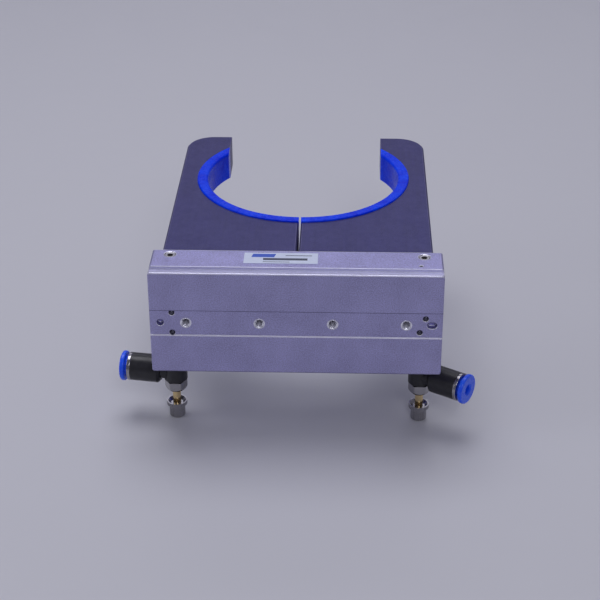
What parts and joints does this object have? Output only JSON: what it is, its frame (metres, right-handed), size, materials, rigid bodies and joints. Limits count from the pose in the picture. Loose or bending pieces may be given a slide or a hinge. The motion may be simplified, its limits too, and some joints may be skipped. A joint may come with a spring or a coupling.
{
  "type": "pneumatic gripper",
  "caption": "Low-profile parallel air gripper: slim housing, sliding fingers with C-shaped lined jaws, and elbow speed controllers with push-in tube collars.",
  "frame": {"origin": "Middle of the mounting face, in the plane of its two lands", "axes": "+X along the housing, +Y from the mounting face towards the jaw tips, +Z from the fittings up to the label face; jaws closed"},
  "size_m": [0.1575, 0.1536, 0.0812],
  "materials": {
    "anodised_aluminium": "bead-blasted, clear anodised",
    "jaw_aluminium": "fine satin, dark anodised",
    "liner_rubber": "smooth, slightly translucent polyurethane",
    "label_foil": "satin foil",
    "tool_steel": "ground",
    "ball_steel": "polished",
    "black_screw": "black oxide",
    "seal_rubber": "matt",
    "bronze": "turned",
    "magnet": "sintered",
    "black_plastic": "fine moulded texture",
    "blue_plastic": "glossy",
    "nickel": "nickel plated",
    "brass": "turned"
  },
  "bodies": {
    "housing": {"housing": "anodised_aluminium", "passage_balls": "ball_steel", "end_caps": "anodised_aluminium", "cap_seals": "seal_rubber", "cap_clips": "black_screw", "end_bumpers": "seal_rubber", "port_plugs": "nickel", "port_gaskets": "nickel", "label_plate": "label_foil", "guide_rail": "tool_steel", "rail_screws": "black_screw", "pinion_pin": "tool_steel", "left_fitting_stem": "nickel", "right_fitting_stem": "nickel"},
    "pinion": {"pinion_gear": "tool_steel", "pinion_bush": "bronze"},
    "left_finger": {"left_finger": "tool_steel", "left_joint_pin": "tool_steel", "left_ball_stops": "tool_steel", "left_piston": "tool_steel", "left_piston_seals": "seal_rubber", "left_piston_magnet": "magnet", "left_jaw": "jaw_aluminium", "left_jaw_liner": "liner_rubber", "left_jaw_screws": "black_screw", "left_jaw_dowels": "tool_steel"},
    "left_balls": {"left_guide_balls": "ball_steel"},
    "left_elbow": {"left_elbow_body": "black_plastic", "left_elbow_ring": "nickel", "left_tube_seal": "seal_rubber", "left_tube_chuck": "tool_steel"},
    "left_collar": {"left_release_collar": "blue_plastic"},
    "left_needle": {"left_needle": "brass", "left_needle_seal": "seal_rubber"},
    "left_lock_ring": {"left_lock_ring": "nickel"},
    "left_knob": {"left_knob": "nickel"},
    "right_finger": {"right_finger": "tool_steel", "right_joint_pin": "tool_steel", "right_ball_stops": "tool_steel", "right_piston": "tool_steel", "right_piston_seals": "seal_rubber", "right_piston_magnet": "magnet", "right_jaw": "jaw_aluminium", "right_jaw_liner": "liner_rubber", "right_jaw_screws": "black_screw", "right_jaw_dowels": "tool_steel"},
    "right_balls": {"right_guide_balls": "ball_steel"},
    "right_elbow": {"right_elbow_body": "black_plastic", "right_elbow_ring": "nickel", "right_tube_seal": "seal_rubber", "right_tube_chuck": "tool_steel"},
    "right_collar": {"right_release_collar": "blue_plastic"},
    "right_needle": {"right_needle": "brass", "right_needle_seal": "seal_rubber"},
    "right_lock_ring": {"right_lock_ring": "nickel"},
    "right_knob": {"right_knob": "nickel"}
  },
  "joints": [
    {"name": "left_finger_slide", "type": "slide", "parent": "housing", "child": "left_finger", "axis": [-1, 0, 0], "range_m": [0, 0.024]},
    {"name": "left_ball_travel", "type": "slide", "parent": "housing", "child": "left_balls", "axis": [-1, 0, 0], "range_m": [0, 0.012]},
    {"name": "right_finger_slide", "type": "slide", "parent": "housing", "child": "right_finger", "axis": [1, 0, 0], "range_m": [0, 0.024]},
    {"name": "right_ball_travel", "type": "slide", "parent": "housing", "child": "right_balls", "axis": [1, 0, 0], "range_m": [0, 0.012]},
    {"name": "pinion_turn", "type": "hinge", "parent": "housing", "child": "pinion", "pos_m": [0, 0.0086, 0], "axis": [0, -1, 0], "range_deg": [0, 138]},
    {"name": "left_elbow_swivel", "type": "hinge", "parent": "housing", "child": "left_elbow", "pos_m": [-0.0543, 0.0174, -0.0338], "axis": [0, 0, 1], "continuous": true},
    {"name": "left_collar_press", "type": "slide", "parent": "left_elbow", "child": "left_collar", "axis": [0.989, -0.1478, 0], "range_m": [0, 0.001], "stiffness_N_per_m": 300},
    {"name": "left_needle_travel", "type": "slide", "parent": "housing", "child": "left_needle", "axis": [0, 0, 1], "range_m": [0, 0.005]},
    {"name": "left_lock_ring_travel", "type": "slide", "parent": "left_needle", "child": "left_lock_ring", "axis": [0, 0, 1], "range_m": [0, 0.0012]},
    {"name": "left_knob_turn", "type": "hinge", "parent": "left_needle", "child": "left_knob", "pos_m": [-0.0543, 0.0174, -0.054], "axis": [0, 0, 1], "range_deg": [0, 3600]},
    {"name": "right_elbow_swivel", "type": "hinge", "parent": "housing", "child": "right_elbow", "pos_m": [0.0543, 0.0174, -0.0338], "axis": [0, 0, 1], "continuous": true},
    {"name": "right_collar_press", "type": "slide", "parent": "right_elbow", "child": "right_collar", "axis": [-0.8434, 0.5373, 0], "range_m": [0, 0.001], "stiffness_N_per_m": 300},
    {"name": "right_needle_travel", "type": "slide", "parent": "housing", "child": "right_needle", "axis": [0, 0, 1], "range_m": [0, 0.005]},
    {"name": "right_lock_ring_travel", "type": "slide", "parent": "right_needle", "child": "right_lock_ring", "axis": [0, 0, 1], "range_m": [0, 0.0012]},
    {"name": "right_knob_turn", "type": "hinge", "parent": "right_needle", "child": "right_knob", "pos_m": [0.0543, 0.0174, -0.054], "axis": [0, 0, 1], "range_deg": [0, 3600]}
  ],
  "couplings": [
    {"joint": "right_finger_slide", "follows": "left_finger_slide", "ratio": 1},
    {"joint": "left_ball_travel", "follows": "left_finger_slide", "ratio": 0.5},
    {"joint": "right_ball_travel", "follows": "left_finger_slide", "ratio": 0.5},
    {"joint": "pinion_turn", "follows": "left_finger_slide", "rad_per_m": 100},
    {"joint": "left_knob_turn", "follows": "left_needle_travel", "rad_per_m": 12566},
    {"joint": "right_knob_turn", "follows": "right_needle_travel", "rad_per_m": 12566}
  ]
}
